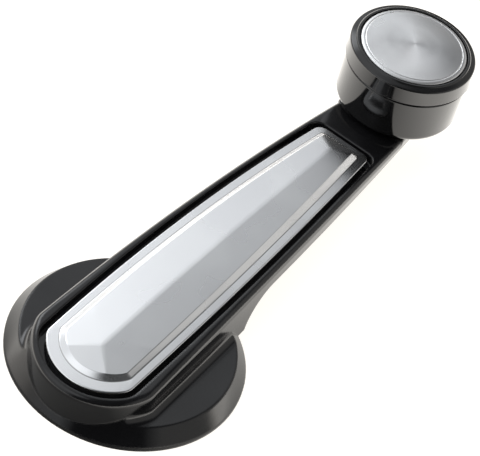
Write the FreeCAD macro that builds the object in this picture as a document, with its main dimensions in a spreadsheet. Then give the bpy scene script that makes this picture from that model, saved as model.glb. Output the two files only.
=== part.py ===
"""Window winder handle for a car door.

A black die-cast handle with a round cover at the hub, a crowned arm with a shallow tray, and a free
turning knob at the far end. A pressed aluminium trim plate lies in the tray and hides the screw that
holds the handle on the regulator shaft.

Frame: the origin is on the hub axis, in the plane of the hub cover's foot. +Z points away from the
door and +X from the hub to the knob. All sizes are millimetres.
"""
import FreeCAD, Part
import os
import re
import Sketcher
from math import atan2, hypot, sqrt
from FreeCAD import Placement, Rotation, Vector

doc = FreeCAD.newDocument("WindowWinderHandle")

# Driving dimensions. Each one is a cell of the sheet, under the name given here.
SIZES = {
    # Hub cover, a round shell that stands on the door trim
    "knob_reach": 100.0,
    "cover_radius": 26.1,
    "foot_height": 0.8,
    "skirt_run": 2.65,
    "ledge_height": 4.55,
    "cover_wall": 2.0,
    "hub_boss_wall": 1.84,
    "hub_boss_cap": 1.0,
    "hub_rib_width": 1.6,
    "hub_rib_gap": 1.0,
    # Plan of the arm, seen from above
    "nose_inset": 1.1,
    "nose_bulge": 1.0,
    "arm_corner_radius": 6.0,
    "arm_hub_half_width": 15.0,
    "arm_side_radius": 1716.0,
    "arm_tip_radius": 8.3,
    # Crown, the long arch that the top of the arm and all its trim follow
    "crown_sag": 13.986,
    "crown_lead": 5.6,
    "arm_depth": 4.27,
    "crown_margin": 20.0,
    # Underside of the arm and its neck into the cover
    "underside_height": 9.0,
    "neck_inset": 1.6,
    "neck_foot": 0.6,
    "arm_rib_depth": 2.6,
    "arm_rib_width": 1.6,
    "arm_rib_spacing": 10.0,
    "arm_rim_round": 1.4,
    "cove_radius": 2.0,
    "pad_rim_round": 0.7,
    # Pad and boss that carry the knob
    "pad_radius": 13.8,
    "pad_depth": 3.2,
    "tip_boss_radius": 7.0,
    "tip_boss_depth": 3.0,
    # Trim plate, pressed from sheet
    "rim_nose_width": 1.5,
    "rim_side_width": 2.4,
    "trim_corner_radius": 3.6,
    "trim_side_radius": 850.0,
    "tip_land": 7.35,
    "trim_tip_inset": 1.1,
    "trim_tip_corner": 2.2,
    "trim_thickness": 0.7,
    "trim_side_gap": 1.3,
    "trim_nose_gap": 1.5,
    "trim_tip_gap": 0.8,
    # Raised panel of the trim plate, hipped like a roof
    "flange_side": 1.9,
    "flange_nose": 2.7,
    "flange_tip": 1.85,
    "panel_corner_radius": 2.2,
    "ridge_lead": 3.6,
    "ridge_rise": 1.61,
    "roof_fall": 1.09,
    "roof_half_width": 12.0,
    "hip_nose_reach": 2.3,
    "hip_nose_fall": 1.47,
    "hip_nose_length": 8.4,
    "hip_tip_inset": 6.45,
    "hip_tip_fall": 1.1,
    "hip_tip_length": 4.8,
    # Carrier behind the trim plate
    "film_thickness": 0.2,
    "film_width": 1.3,
    "carrier_thickness": 1.2,
    "carrier_inset": 0.4,
    "carrier_clearance": 0.2,
    "window_clearance": 0.2,
    "pin_radius": 1.5,
    "pin_length": 4.4,
    "pin_nose_reach": 6.0,
    "pin_tip_inset": 16.85,
    "sleeve_wall": 0.85,
    "sleeve_length": 4.0,
    "sleeve_sink": 0.3,
    "sleeve_boss_wall": 1.3,
    "press_clearance": 0.03,
    # Serrated hub insert
    "insert_across_flats": 15.0,
    "screw_cover": 1.37,
    "insert_web": 1.6,
    "lead_in_radius": 4.95,
    "lead_in_length": 2.4,
    "serration_root": 4.8,
    "serration_depth": 0.5,
    "serration_width": 0.7,
    # Retaining screw and its washers
    "screw_radius": 2.4,
    "screw_length": 6.35,
    "screw_head_radius": 4.7,
    "screw_head_height": 2.4,
    "screw_head_round": 0.7,
    "screw_chamfer": 0.4,
    "cross_width": 1.1,
    "cross_length": 5.0,
    "cross_depth": 1.5,
    "washer_hole_clearance": 0.2,
    "flat_washer_radius": 6.0,
    "flat_washer_thickness": 0.8,
    "spring_washer_radius": 4.6,
    "spring_washer_thickness": 0.7,
    "spring_washer_split": 0.6,
    "washer_clearance": 0.6,
    # Knob spindle, a shouldered rivet
    "tenon_radius": 2.5,
    "rivet_head_radius": 4.2,
    "rivet_head_height": 0.9,
    "rivet_washer_radius": 5.6,
    "rivet_washer_thickness": 0.8,
    "collar_radius": 6.2,
    "collar_height": 1.0,
    "journal_radius": 3.2,
    "journal_chamfer": 0.4,
    "spindle_end": 0.4,
    # Washers, bush and push nut inside the knob
    "knob_play": 0.1,
    "collar_margin": 0.2,
    "thrust_washer_thickness": 0.6,
    "spring_dish_thickness": 0.3,
    "spring_dish_height": 0.6,
    "running_clearance": 0.05,
    "bush_wall": 1.35,
    "bush_flange_thickness": 0.8,
    "bush_drop": 1.37,
    "stop_washer_width": 2.4,
    "stop_washer_thickness": 0.6,
    "push_nut_width": 2.0,
    "push_nut_thickness": 0.4,
    "push_nut_rise": 0.5,
    "push_nut_slot_width": 0.7,
    "push_nut_slot_depth": 1.1,
    # Knob shell
    "knob_gap": 0.4,
    "knob_edge_radius": 1.8,
    "cup_bottom_radius": 14.65,
    "cup_flare": 0.15,
    "cup_height": 12.37,
    "seam_gap": 0.08,
    "cup_wall": 1.6,
    "cup_floor": 2.4,
    "well_clearance": 0.5,
    "tube_wall": 1.8,
    "seat_ring_rise": 1.7,
    "cap_overlap": 3.0,
    "cap_spigot_wall": 1.5,
    "cap_proud": 0.5,
    "cap_draft": 0.45,
    "cap_height": 4.01,
    "cap_lip_width": 1.75,
    "cap_lip_rise": 0.29,
    "cap_seat_depth": 0.75,
    "cap_web": 2.0,
    # Aluminium disc on top of the knob
    "disc_gap": 1.1,
    "disc_film_inset": 0.8,
    "disc_edge_round": 0.3,
    "disc_thickness": 0.7,
    "disc_rim_width": 0.9,
    "disc_bead": 0.12,
    "disc_dome_radius": 95.0,
    "overrun": 5.0,
}

# Angles and counts
FULL_TURN = 360.0
ROOF_SWEEP = 16.0
SERRATIONS = 20
CROSS_ARMS = 4
PUSH_NUT_SLOTS = 6
EDGE_SAMPLES = 5
NEAR = 0.001

sheet = doc.addObject("Spreadsheet::Sheet", "Sizes")
for row, (word, size) in enumerate(SIZES.items(), start=1):
    sheet.set(f"A{row}", word)
    sheet.set(f"B{row}", str(size))
    sheet.setAlias(f"B{row}", word)
doc.recompute()

NAME = re.compile(r"[a-z][a-z_]+")

# Places that more than one piece is built to, worked out from the sizes
LEDGE_RADIUS = "(cover_radius - skirt_run)"
NECK_START = "(cover_radius - neck_inset)"
NECK_SWEEP = "(underside_height - neck_foot)"
ARM_NOSE = "(arm_hub_half_width + nose_bulge)"
NOSE_SETBACK = f"(cover_radius - {ARM_NOSE} - nose_inset)"
CROWN_HEIGHT = "(underside_height + arm_depth)"
CROWN_RADIUS = "(knob_reach^2 / crown_sag)"
CROWN_PEAK = "(knob_reach / 2 - crown_lead)"
PAD_HEIGHT = "(underside_height + pad_depth)"
TRIM_NOSE = f"({ARM_NOSE} - rim_nose_width - trim_nose_gap)"
TRIM_HUB_HALF = "(arm_hub_half_width - rim_side_width - trim_side_gap)"
TRIM_TIP = "(knob_reach - pad_radius - tip_land)"
TRIM_TIP_HALF = "(arm_tip_radius - trim_tip_inset)"
RIDGE_PEAK = f"({CROWN_PEAK} + ridge_lead)"
HIP_NOSE = f"({NOSE_SETBACK} + hip_nose_reach)"
HIP_TIP = f"({TRIM_TIP} - hip_tip_inset)"
RECESS_DEPTH = "(trim_thickness + film_thickness + carrier_thickness)"
UNDER_PLATE = "trim_thickness"
UNDER_FILM = "(trim_thickness + film_thickness)"
WASHER_WELL = "(flat_washer_radius + washer_clearance)"


def bound(formula):
    """The formula as an expression, with each size read from the sheet."""
    return NAME.sub(lambda found: "Sizes." + found[0] if found[0] in SIZES else found[0], formula)


def value(formula):
    """The formula as a number, for a sketch's first guess and for shapes made in code."""
    numbers = NAME.sub(lambda found: str(SIZES.get(found[0], found[0])), formula)
    return FreeCAD.Units.Quantity(numbers).Value


def crown_at(place, drop="0"):
    """Height of the crown over a place along the arm, less a drop measured to its centre."""
    return (f"({CROWN_HEIGHT} - {CROWN_RADIUS} + sqrt(({CROWN_RADIUS} - ({drop}))^2"
            f" - (({place}) - {CROWN_PEAK})^2))")


# Sketches

def pin_point(sketch, geometry, end, across, up):
    """Tie one end of a sketch edge to its place, given as two formulas from the origin."""
    for kind, formula, axis in (("DistanceX", across, -2), ("DistanceY", up, -1)):
        if formula == "0":
            sketch.addConstraint(Sketcher.Constraint("PointOnObject", geometry, end, axis))
        else:
            rule = Sketcher.Constraint(kind, -1, 1, geometry, end, value(formula))
            index = sketch.addConstraint(rule)
            sketch.setExpression(f"Constraints[{index}]", bound(formula))


def arc_between(start, finish, radius):
    """Arc from start to finish. A positive radius turns left along it, a negative one right."""
    if radius < 0:
        start, finish = finish, start
    reach = abs(radius)
    chord = finish - start
    half = chord.Length / 2
    left = Vector(-chord.y, chord.x, 0).normalize()
    centre = (start + finish) / 2 + left * sqrt(max(reach ** 2 - half ** 2, 0))
    first = atan2(start.y - centre.y, start.x - centre.x)
    last = atan2(finish.y - centre.y, finish.x - centre.x)
    return Part.ArcOfCircle(Part.Circle(centre, Vector(0, 0, 1), reach), first, last)


def draw_circle(sketch, radius):
    """Circle about the sketch's origin."""
    circle = sketch.addGeometry(Part.Circle(Vector(0, 0, 0), Vector(0, 0, 1), value(radius)))
    sketch.addConstraint(Sketcher.Constraint("Coincident", circle, 3, -1, 1))
    rule = sketch.addConstraint(Sketcher.Constraint("Radius", circle, value(radius)))
    sketch.setExpression(f"Constraints[{rule}]", bound(radius))


def draw_profile(sketch, corners):
    """Closed profile through corners, each (across, up) or (across, up, radius of the next edge)."""
    points = [Vector(value(corner[0]), value(corner[1]), 0) for corner in corners]
    ends = []
    for index, corner in enumerate(corners):
        start = points[index]
        finish = points[(index + 1) % len(points)]
        if len(corner) == 2:
            geometry = sketch.addGeometry(Part.LineSegment(start, finish))
            ends.append((geometry, 1, 2))
        else:
            radius = value(corner[2])
            geometry = sketch.addGeometry(arc_between(start, finish, radius))
            ends.append((geometry, 1, 2) if radius > 0 else (geometry, 2, 1))
    for index, corner in enumerate(corners):
        geometry, first, last = ends[index]
        following, next_first, _ = ends[(index + 1) % len(ends)]
        sketch.addConstraint(
            Sketcher.Constraint("Coincident", geometry, last, following, next_first))
        pin_point(sketch, geometry, first, corner[0], corner[1])
        if len(corner) == 3:
            rule = sketch.addConstraint(
                Sketcher.Constraint("Radius", geometry, abs(value(corner[2]))))
            sketch.setExpression(f"Constraints[{rule}]", bound(f"abs({corner[2]})"))


def origin_plane(body, role):
    """One of a body's own origin planes, found by its role."""
    return next(item for item in body.Origin.OriginFeatures if item.Role == role)


def body_sketch(body, name, role, outline, height="0"):
    """Sketch on a body's origin plane, raised to a height. The outline is corners or one radius."""
    sketch = body.newObject("Sketcher::SketchObject", name)
    sketch.AttachmentSupport = (origin_plane(body, role), [""])
    sketch.MapMode = "FlatFace"
    if height != "0":
        sketch.setExpression("AttachmentOffset.Base.z", bound(height))
    if isinstance(outline, str):
        draw_circle(sketch, outline)
    else:
        draw_profile(sketch, outline)
    return sketch


def free_sketch(name, corners, upright):
    """Sketch outside a body, in plan or, when upright, in the plane of the arm's side view."""
    sketch = doc.addObject("Sketcher::SketchObject", name)
    if upright:
        sketch.Placement = Placement(Vector(0, 0, 0), Rotation(Vector(1, 0, 0), FULL_TURN / 4))
    draw_profile(sketch, corners)
    return sketch


# Solids

def turned(node, corners, at_knob):
    """Piece turned about its own axis, placed on the hub axis or on the knob axis."""
    body = doc.addObject("PartDesign::Body", node)
    body.Label = node
    sketch = body_sketch(body, node + "_profile", "XZ_Plane", corners)
    solid = body.newObject("PartDesign::Revolution", node + "_turned")
    solid.Profile = sketch
    solid.ReferenceAxis = (sketch, ["V_Axis"])
    solid.Angle = FULL_TURN
    if at_knob:
        body.setExpression("Placement.Base.x", bound("knob_reach"))
    doc.recompute()
    return body


def carve(body, name, outline, height, depth, upward=False):
    """Pocket in a body from a plan outline at a height, with its depth. It has to cut something."""
    before = body.Shape.Volume
    sketch = body_sketch(body, name + "_profile", "XY_Plane", outline, height)
    pocket = body.newObject("PartDesign::Pocket", name)
    pocket.Profile = sketch
    pocket.Type = 0
    pocket.setExpression("Length", bound(depth))
    pocket.Reversed = upward
    doc.recompute()
    if not body.Shape.Volume < before:
        raise RuntimeError(f"{name} removes nothing from {body.Label}")
    return pocket


def raised(node, outline, height):
    """Body that begins as a plan outline raised from the foot plane to a height."""
    body = doc.addObject("PartDesign::Body", node)
    body.Label = node
    pad = body.newObject("PartDesign::Pad", node + "_pad")
    pad.Profile = body_sketch(body, node + "_profile", "XY_Plane", outline)
    pad.setExpression("Length", bound(height))
    doc.recompute()
    return body


def round_pattern(body, feature, count):
    """Repeat a feature of a body evenly about its own axis."""
    pattern = body.newObject("PartDesign::PolarPattern", feature.Name + "_ring")
    pattern.Originals = [feature]
    pattern.Axis = (next(item for item in body.Origin.OriginFeatures if item.Role == "Z_Axis"), [""])
    pattern.Angle = FULL_TURN
    pattern.Occurrences = count
    body.Tip = pattern
    doc.recompute()
    return pattern


def box_corners(left, front, right, back):
    """Plan rectangle from its four sides."""
    return [(left, front), (right, front), (right, back), (left, back)]


def extruded(name, sketch, direction, low, high):
    """Extrusion of a sketch along a direction, from low to high."""
    solid = doc.addObject("Part::Extrusion", name)
    solid.Base = sketch
    solid.DirMode = "Custom"
    solid.Dir = direction
    solid.Solid = True
    solid.setExpression("LengthFwd", bound(high))
    solid.setExpression("LengthRev", bound(low))
    return solid


def combined(kind, name, shapes):
    """Common or fused solid of several shapes."""
    solid = doc.addObject(kind, name)
    solid.Shapes = shapes
    if kind == "Part::MultiFuse":
        solid.Refine = True
    return solid


def common(name, *shapes):
    return combined("Part::MultiCommon", name, list(shapes))


def fused(name, *shapes):
    return combined("Part::MultiFuse", name, list(shapes))


def cut(name, base, tool):
    """Base less the tool."""
    solid = doc.addObject("Part::Cut", name)
    solid.Base = base
    solid.Tool = tool
    return solid


def cylinder(name, radius, low, high, place="0"):
    """Upright cylinder at a place along the arm, between two heights."""
    solid = doc.addObject("Part::Cylinder", name)
    solid.setExpression("Radius", bound(radius))
    solid.setExpression("Height", bound(f"({high}) - ({low})"))
    solid.setExpression("Placement.Base.x", bound(place))
    solid.setExpression("Placement.Base.z", bound(low))
    return solid


def box(name, left, right, width, low, high, side="0"):
    """Box between two places along the arm and two heights, centred across the arm on side."""
    solid = doc.addObject("Part::Box", name)
    solid.setExpression("Length", bound(f"({right}) - ({left})"))
    solid.setExpression("Width", bound(width))
    solid.setExpression("Height", bound(f"({high}) - ({low})"))
    solid.setExpression("Placement.Base.x", bound(left))
    solid.setExpression("Placement.Base.y", bound(f"({side}) - ({width}) / 2"))
    solid.setExpression("Placement.Base.z", bound(low))
    return solid


# Plans of the arm and its trim. Every one has a round nose, two bowed sides that meet it through
# rounded corners, and either a square tip with small corners or a round tip about the knob axis.

def touch(sketch, first, first_end, second, second_end):
    """Join two edges end to end, tangent to each other."""
    sketch.addConstraint(Sketcher.Constraint("Tangent", first, first_end, second, second_end))


def tie(sketch, rule, formula):
    """Add a dimension to a sketch and bind it to its formula."""
    index = sketch.addConstraint(rule)
    sketch.setExpression(f"Constraints[{index}]", bound(formula))


def meeting(first, first_radius, second, second_radius):
    """Point at given distances from two points, on the right of the way from first to second."""
    line = second - first
    along = (first_radius ** 2 - second_radius ** 2 + line.Length ** 2) / (2 * line.Length)
    across = sqrt(first_radius ** 2 - along ** 2)
    unit = Vector(line).normalize()
    return first + unit * along + Vector(unit.y, -unit.x, 0) * across


def handle_plan(name, nose, corner, hub_width, side, tip, tip_width, tip_corner):
    """Plan outline. With no tip corner the tip is round, about the knob axis, with that radius."""
    sketch = doc.addObject("Sketcher::SketchObject", name)
    up = Vector(0, 0, 1)
    nose_at = Vector(-value(NOSE_SETBACK), 0, 0)
    reach = value(side)
    hub_side = Vector(0, value(hub_width), 0)
    if tip_corner:
        centre = meeting(hub_side, reach, Vector(value(tip), value(tip_width), 0), reach)
    else:
        tip_at = Vector(value(tip), 0, 0)
        centre = meeting(hub_side, reach, tip_at, reach - value(tip_width))
    corner_at = meeting(nose_at, value(nose) - value(corner), centre, reach - value(corner))
    nose_turn = atan2(corner_at.y - nose_at.y, corner_at.x - nose_at.x)
    side_turn = atan2(corner_at.y - centre.y, corner_at.x - centre.x)

    def arc(middle, radius, first, last):
        return sketch.addGeometry(Part.ArcOfCircle(Part.Circle(middle, up, radius), first, last))

    def mirror(point):
        return Vector(point.x, -point.y, 0)

    half_turn = atan2(0, -1)
    front = arc(nose_at, value(nose), nose_turn, 2 * half_turn - nose_turn)
    upper_corner = arc(corner_at, value(corner), side_turn, nose_turn)
    lower_corner = arc(mirror(corner_at), value(corner), -nose_turn, -side_turn)
    if tip_corner:
        small = value(tip_corner)
        tip_x = value(tip) - small
        drop = sqrt((reach - small) ** 2 - (tip_x - centre.x) ** 2)
        small_at = Vector(tip_x, centre.y + drop, 0)
        tip_turn = atan2(small_at.y - centre.y, small_at.x - centre.x)
    else:
        tip_turn = atan2(tip_at.y - centre.y, tip_at.x - centre.x)
    upper_side = arc(centre, reach, tip_turn, side_turn)
    lower_side = arc(mirror(centre), reach, -side_turn, -tip_turn)
    touch(sketch, front, 1, upper_corner, 2)
    touch(sketch, front, 2, lower_corner, 1)
    touch(sketch, upper_corner, 1, upper_side, 2)
    touch(sketch, lower_corner, 2, lower_side, 1)
    if tip_corner:
        upper_small = arc(small_at, small, 0, tip_turn)
        lower_small = arc(mirror(small_at), small, -tip_turn, 0)
        top = Vector(value(tip), small_at.y, 0)
        end = sketch.addGeometry(Part.LineSegment(mirror(top), top))
        touch(sketch, upper_side, 1, upper_small, 2)
        touch(sketch, lower_side, 2, lower_small, 1)
        touch(sketch, end, 2, upper_small, 1)
        touch(sketch, end, 1, lower_small, 2)
        tie(sketch, Sketcher.Constraint("DistanceX", -1, 1, end, 1, value(tip)), tip)
        for edge in (upper_small, lower_small):
            tie(sketch, Sketcher.Constraint("Radius", edge, small), tip_corner)
        stations = (("0", hub_width), (tip, tip_width))
    else:
        end = arc(tip_at, value(tip_width), -tip_turn, tip_turn)
        touch(sketch, upper_side, 1, end, 2)
        touch(sketch, lower_side, 2, end, 1)
        pin_point(sketch, end, 3, tip, "0")
        tie(sketch, Sketcher.Constraint("Radius", end, value(tip_width)), tip_width)
        stations = (("0", hub_width),)
    pin_point(sketch, front, 3, f"-{NOSE_SETBACK}", "0")
    tie(sketch, Sketcher.Constraint("Radius", front, value(nose)), nose)
    for edge in (upper_corner, lower_corner):
        tie(sketch, Sketcher.Constraint("Radius", edge, value(corner)), corner)
    for edge, sign in ((upper_side, ""), (lower_side, "-")):
        tie(sketch, Sketcher.Constraint("Radius", edge, reach), side)
        for station, width in stations:
            across = f"{sign}({width})"
            spot = sketch.addGeometry(Part.Point(Vector(value(station), value(across), 0)), True)
            pin_point(sketch, spot, 1, station, across)
            sketch.addConstraint(Sketcher.Constraint("PointOnObject", spot, 1, edge))
    return sketch


def inset_plan(name, side_inset, nose_inset, tip_inset, corner, tip_corner):
    """Plan that follows the trim plate's edge, drawn in by three insets. A negative one is a gap."""
    return handle_plan(
        name,
        nose=f"{TRIM_NOSE} - ({nose_inset})",
        corner=corner,
        hub_width=f"{TRIM_HUB_HALF} - ({side_inset})",
        side=f"trim_side_radius - ({side_inset})",
        tip=f"{TRIM_TIP} - ({tip_inset})",
        tip_width=f"{TRIM_TIP_HALF} - ({side_inset})",
        tip_corner=tip_corner)


def crowned_slab(name, top_drop, bottom):
    """Slab across the whole handle, under the crown by top_drop, down to a drop or a flat level."""
    left = "-(cover_radius + crown_margin)"
    right = "knob_reach + crown_margin"
    top = f"-({CROWN_RADIUS} - ({top_drop}))"
    if bottom.startswith("level "):
        level = bottom[len("level "):]
        corners = [(left, level), (left, crown_at(left, top_drop), top),
                   (right, crown_at(right, top_drop)), (right, level)]
    else:
        lower = f"{CROWN_RADIUS} - ({bottom})"
        corners = [(left, crown_at(left, bottom)), (left, crown_at(left, top_drop), top),
                   (right, crown_at(right, top_drop)), (right, crown_at(right, bottom), lower)]
    sketch = free_sketch(name + "_side_view", corners, upright=True)
    return extruded(name, sketch, Vector(0, 1, 0), "cover_radius", "cover_radius")


def standing(name, sketch):
    """Plan outline raised through the full height of the arm."""
    return extruded(name, sketch, Vector(0, 0, 1), "0", f"{CROWN_HEIGHT} + crown_margin")


def ridge_at(place, drop="0"):
    """Height of the trim panel's ridge over a place along the arm, less a drop."""
    return (f"({CROWN_HEIGHT} + ridge_rise - {CROWN_RADIUS}"
            f" + sqrt(({CROWN_RADIUS} - ({drop}))^2 - (({place}) - {RIDGE_PEAK})^2))")


def roof_block(name, drop):
    """The panel's hipped roof as a block: two slopes swept along the crown, cut to two hips."""
    low = "underside_height"
    eave = f"{CROWN_HEIGHT} + ridge_rise - roof_fall - ({drop})"
    section = doc.addObject("Sketcher::SketchObject", name + "_section")
    section.Placement = Placement(Vector(0, 0, 0), Rotation(Vector(1, 1, 1), FULL_TURN / 3))
    section.setExpression("Placement.Base.x", bound(RIDGE_PEAK))
    draw_profile(section, [
        ("-roof_half_width", low),
        ("roof_half_width", low),
        ("roof_half_width", eave),
        ("0", f"{CROWN_HEIGHT} + ridge_rise - ({drop})"),
        ("-roof_half_width", eave)])
    slopes = doc.addObject("Part::Revolution", name + "_slopes")
    slopes.Source = section
    slopes.Axis = Vector(0, 1, 0)
    slopes.setExpression("Base.x", bound(RIDGE_PEAK))
    slopes.setExpression(
        "Base.z", bound(f"{CROWN_HEIGHT} + ridge_rise - {CROWN_RADIUS}"))
    slopes.Angle = ROOF_SWEEP
    slopes.Symmetric = True
    slopes.Solid = True
    nose_low = f"-({HIP_NOSE} + hip_nose_length)"
    tip_low = f"{HIP_TIP} + hip_tip_length"
    above = f"{CROWN_HEIGHT} + crown_margin"
    view = free_sketch(name + "_hip_view", [
        (nose_low, "0"),
        (nose_low, f"{ridge_at('-' + HIP_NOSE, drop)} - hip_nose_fall"),
        ("-" + HIP_NOSE, ridge_at("-" + HIP_NOSE, drop)),
        ("-" + HIP_NOSE, above),
        (HIP_TIP, above),
        (HIP_TIP, ridge_at(HIP_TIP, drop)),
        (tip_low, f"{ridge_at(HIP_TIP, drop)} - hip_tip_fall"),
        (tip_low, "0")], upright=True)
    hips = extruded(name + "_hips", view, Vector(0, 1, 0), "cover_radius", "cover_radius")
    return common(name, slopes, hips)


def flange_plan(name, inset):
    """Plan that follows the raised panel's foot, drawn in by an inset."""
    return inset_plan(
        name,
        side_inset=f"flange_side + {inset}",
        nose_inset=f"flange_nose + {inset}",
        tip_inset=f"flange_tip + {inset}",
        corner=f"panel_corner_radius - {inset}",
        tip_corner=f"panel_corner_radius - {inset}")


def rounded(name, solid, radius, chosen):
    """Solid with a round on each edge whose sampled points, without its ends, pass a test."""
    body = doc.addObject("PartDesign::Body", name)
    body.BaseFeature = solid
    doc.recompute()
    base = body.Group[0]
    edges = [f"Edge{number}" for number, edge in enumerate(base.Shape.Edges, start=1)
             if all(chosen(point) for point in edge.discretize(Number=EDGE_SAMPLES)[1:-1])]
    if not edges:
        raise RuntimeError(f"{name} finds no edge to round")
    blend = body.newObject("PartDesign::Fillet", name + "_round")
    blend.Base = (base, edges)
    blend.setExpression("Radius", bound(radius))
    doc.recompute()
    return body


def named(node, solid):
    """Give a finished solid its node's name."""
    solid.Label = node
    return solid


# Levels of the hub insert and of the knob's fixings, which the casting is made to

HEX_REACH = "(insert_across_flats / sqrt(3))"
SCREW_STACK = "(flat_washer_thickness + spring_washer_thickness + screw_head_height)"
INSERT_HEIGHT = f"({CROWN_HEIGHT} - screw_cover - {SCREW_STACK})"
TIP_BOSS_LEVEL = "(underside_height - tip_boss_depth)"

# Handle body: cover, arm and pad as one casting

PINS = (("near", f"-({NOSE_SETBACK} + pin_nose_reach)"), ("far", f"({TRIM_TIP} - pin_tip_inset)"))

cover_outside = turned("cover_outside", [
    ("0", "0"),
    ("cover_radius", "0"),
    ("cover_radius", "foot_height"),
    (LEDGE_RADIUS, "ledge_height"),
    ("0", "ledge_height")], at_knob=False)
cover_hollow = turned("cover_hollow", [
    ("0", "-overrun"),
    ("cover_radius - cover_wall", "-overrun"),
    ("cover_radius - cover_wall", "foot_height"),
    (f"{LEDGE_RADIUS} - cover_wall", "ledge_height - cover_wall"),
    ("0", "ledge_height - cover_wall")], at_knob=False)

arm_raised = standing("arm_raised", handle_plan(
    "arm_plan",
    nose=ARM_NOSE,
    corner="arm_corner_radius",
    hub_width="arm_hub_half_width",
    side="arm_side_radius",
    tip="knob_reach",
    tip_width="arm_tip_radius",
    tip_corner=None))
VIEW_LEFT = "-(cover_radius + crown_margin)"
VIEW_RIGHT = "knob_reach + crown_margin"
arm_view = free_sketch("arm_side_view", [
    (VIEW_LEFT, "neck_foot"),
    (VIEW_LEFT, crown_at(VIEW_LEFT), f"-{CROWN_RADIUS}"),
    (VIEW_RIGHT, crown_at(VIEW_RIGHT)),
    (VIEW_RIGHT, "underside_height"),
    (f"{NECK_START} + {NECK_SWEEP}", "underside_height", NECK_SWEEP),
    (NECK_START, "neck_foot")], upright=True)
arm_block = extruded("arm_block", arm_view, Vector(0, 1, 0), "cover_radius", "cover_radius")
arm_bar = rounded(
    "arm_bar", common("arm_blank", arm_raised, arm_block), "arm_rim_round",
    lambda point: abs(point.z - value(crown_at(str(point.x)))) < NEAR)
pad_disc = cylinder("pad_disc", "pad_radius", "underside_height", PAD_HEIGHT, "knob_reach")
knob_pad = rounded(
    "knob_pad", common("pad_blank", pad_disc, arm_raised), "pad_rim_round",
    lambda point: abs(point.z - value(PAD_HEIGHT)) < NEAR)


def foot_of_wall(point):
    """Whether a point is on the ledge and inside its edge, as the foot of the arm's wall is."""
    on_ledge = abs(point.z - value("ledge_height")) < NEAR
    return on_ledge and hypot(point.x, point.y) < value(LEDGE_RADIUS) - NEAR


outside = rounded(
    "outside", fused("arm_on_cover", cover_outside, arm_bar, knob_pad), "cove_radius",
    foot_of_wall)

recess_raised = standing("recess_raised", inset_plan(
    "recess_plan",
    side_inset="-trim_side_gap",
    nose_inset="-trim_nose_gap",
    tip_inset="-trim_tip_gap",
    corner="trim_corner_radius + trim_side_gap",
    tip_corner="trim_tip_corner + trim_tip_gap"))
recess = common("recess", recess_raised, crowned_slab("recess_slab", "-overrun", RECESS_DEPTH))
hollow_slab = crowned_slab("arm_hollow_slab", f"{RECESS_DEPTH} + cover_wall", "level -overrun")
hollow_limit = box(
    "arm_hollow_limit", f"-({LEDGE_RADIUS} - cover_wall)", f"{NECK_START} - cover_wall",
    "2 * cover_radius", "-overrun", CROWN_HEIGHT)
arm_hollow = common("arm_hollow", recess_raised, hollow_slab, hollow_limit)
hollowed = cut("hollowed", outside, fused("hollows", cover_hollow, arm_hollow))

hub_boss = cylinder(
    "hub_boss", f"{HEX_REACH} + hub_boss_wall", "0", f"{INSERT_HEIGHT} + hub_boss_cap")
RIB_TOP = "ledge_height - foot_height"
RIB_REACH = f"({LEDGE_RADIUS} - cover_wall / 2)"
rib_along = box(
    "rib_along", f"-{RIB_REACH}", RIB_REACH, "hub_rib_width", "hub_rib_gap", RIB_TOP)
rib_across = box(
    "rib_across", "-hub_rib_width / 2", "hub_rib_width / 2", f"2 * {RIB_REACH}",
    "hub_rib_gap", RIB_TOP)
arm_ribs = [
    box(f"arm_rib_{side}", f"{NECK_START} + arm_rib_width", "knob_reach - tip_boss_radius / 2",
        "arm_rib_width", "underside_height - arm_rib_depth", "underside_height + cover_wall / 2",
        f"{sign}arm_rib_spacing / 2")
    for side, sign in (("left", ""), ("right", "-"))]
tip_boss = cylinder(
    "tip_boss", "tip_boss_radius", TIP_BOSS_LEVEL, "underside_height + cover_wall / 2",
    "knob_reach")
SLEEVE_RADIUS = "(pin_radius + sleeve_wall)"


def sleeve_bottom(place):
    """Level of the lower end of a pin's sleeve and of its boss."""
    return f"({crown_at(place, RECESS_DEPTH)} - sleeve_sink - sleeve_length)"


sleeve_bosses = [
    cylinder(f"sleeve_boss_{which}", f"{SLEEVE_RADIUS} + sleeve_boss_wall", sleeve_bottom(place),
             f"{crown_at(place, RECESS_DEPTH)} - cover_wall / 2", place)
    for which, place in PINS]
ribbed = fused(
    "ribbed", hollowed, hub_boss, rib_along, rib_across, *arm_ribs, tip_boss, *sleeve_bosses)

insert_seat = doc.addObject("Part::Prism", "insert_seat")
insert_seat.Polygon = 6
insert_seat.setExpression("Circumradius", bound(HEX_REACH))
insert_seat.setExpression("Height", bound(f"{INSERT_HEIGHT} + overrun"))
insert_seat.setExpression("Placement.Base.z", bound("-overrun"))
washer_well = cylinder("washer_well", WASHER_WELL, "0", CROWN_HEIGHT)
tenon_hole = cylinder(
    "tenon_hole", "tenon_radius + press_clearance", "0", f"{PAD_HEIGHT} + overrun", "knob_reach")
sleeve_holes = [
    cylinder(f"sleeve_hole_{which}", f"{SLEEVE_RADIUS} + press_clearance",
             sleeve_bottom(place), CROWN_HEIGHT, place)
    for which, place in PINS]
openings = fused("body_openings", recess, insert_seat, washer_well, tenon_hole, *sleeve_holes)
handle_body = named("handle_body", cut("handle_casting", ribbed, openings))


# Trim plate: a flat flange with a hipped panel pressed up in it

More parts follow.
